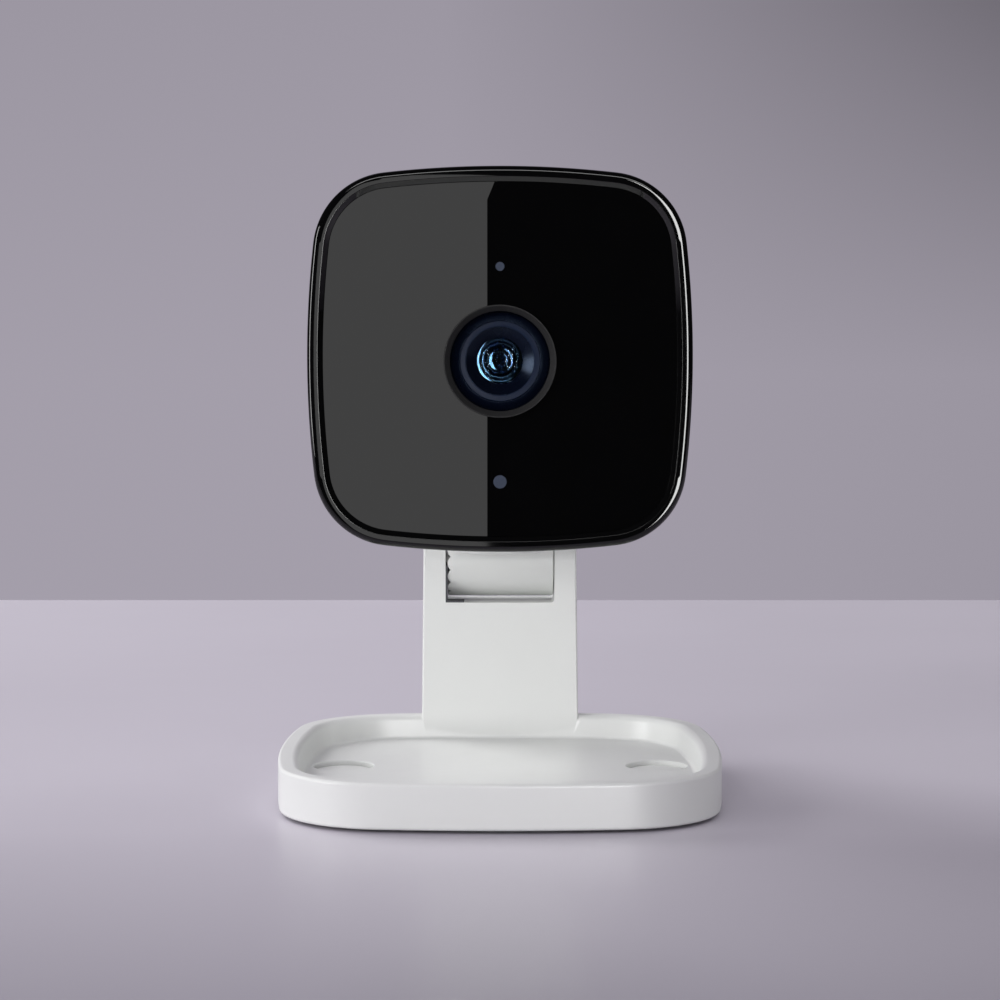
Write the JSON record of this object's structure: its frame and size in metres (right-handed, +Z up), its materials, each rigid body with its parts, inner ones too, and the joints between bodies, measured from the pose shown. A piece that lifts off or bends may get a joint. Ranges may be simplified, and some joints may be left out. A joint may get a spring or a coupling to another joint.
{
  "type": "security camera",
  "caption": "Small indoor camera: glossy square head with a central lens, on a tilting and turning neck over a flat arm and a shallow tray base.",
  "frame": {"origin": "middle of the foot pad's underside, on the table, under the middle of the tray", "axes": "+Z up, -Y the way the camera looks, +X to the right seen from the front"},
  "size_m": [0.0592, 0.0695, 0.0836],
  "materials": {
    "white_plastic": "fine satin moulded white",
    "gloss_black": "polished black",
    "tinted_window": "mirror-smooth dark tinted sheet",
    "charcoal_ring": "fine satin charcoal",
    "lens_black": "blue-black satin",
    "slate_ring": "slate-blue anodised",
    "lens_glass": "coated clear glass",
    "matte_black": "matt black",
    "rubber": "matt black rubber",
    "steel": "plain bright steel",
    "dark_steel": "blackened spring steel",
    "aluminium": "satin",
    "circuit_board": "green solder mask",
    "sensor_chip": "dark polished chip",
    "lamp_resin": "smoky clear resin",
    "grey_button": "satin grey"
  },
  "bodies": {
    "stand": {"stand": "white_plastic", "base_weight": "steel", "foot_pad": "rubber", "screw_plug_left": "white_plastic", "screw_plug_right": "white_plastic", "hinge_pin": "steel", "pin_cap_left": "white_plastic", "pin_cap_right": "white_plastic", "click_spring": "dark_steel"},
    "neck": {"hinge_neck": "white_plastic", "click_ring": "white_plastic"},
    "head": {"aperture_stop": "matte_black", "back_cover": "white_plastic", "bezel_gasket": "rubber", "button_switch": "matte_black", "card_socket": "steel", "cover_screw_1": "steel", "cover_screw_2": "steel", "front_bezel": "gloss_black", "front_lens_element": "lens_glass", "front_window": "tinted_window", "head_shell": "white_plastic", "heat_spreader": "aluminium", "image_sensor": "sensor_chip", "infrared_filter": "lens_glass", "infrared_lamp_1": "lamp_resin", "infrared_lamp_2": "lamp_resin", "infrared_lamp_3": "lamp_resin", "infrared_lamp_4": "lamp_resin", "inner_lens_element": "lens_glass", "lamp_board": "circuit_board", "lens_barrel": "lens_black", "lens_holder": "matte_black", "lens_retaining_ring": "slate_ring", "lens_trim_ring": "charcoal_ring", "light_sensor": "sensor_chip", "loudspeaker": "matte_black", "main_board": "circuit_board", "microphone": "steel", "power_inlet": "steel", "rear_lens_element": "lens_glass", "sensor_board": "circuit_board", "sensor_board_screw_1": "steel", "sensor_board_screw_2": "steel", "shield_can": "steel", "speaker_gasket": "rubber", "status_light_pipe": "lamp_resin", "swivel_disc": "white_plastic", "swivel_screw": "steel", "swivel_washer": "steel", "wireless_aerial": "circuit_board"},
    "button": {"setup_button": "grey_button"}
  },
  "joints": [
    {"name": "head_tilt", "type": "hinge", "parent": "stand", "child": "neck", "pos_m": [0, 0.0331, 0.0284], "axis": [1, 0, 0], "range_deg": [-90, 22.5]},
    {"name": "head_pan", "type": "hinge", "parent": "neck", "child": "head", "pos_m": [0, 0.012, 0.03424], "axis": [0, 0, 1], "range_deg": [-90, 90]},
    {"name": "setup_press", "type": "slide", "parent": "head", "child": "button", "axis": [0, -1, 0], "range_m": [0, 0.0008], "stiffness_N_per_m": 2500, "springref_m": -0.0002}
  ]
}
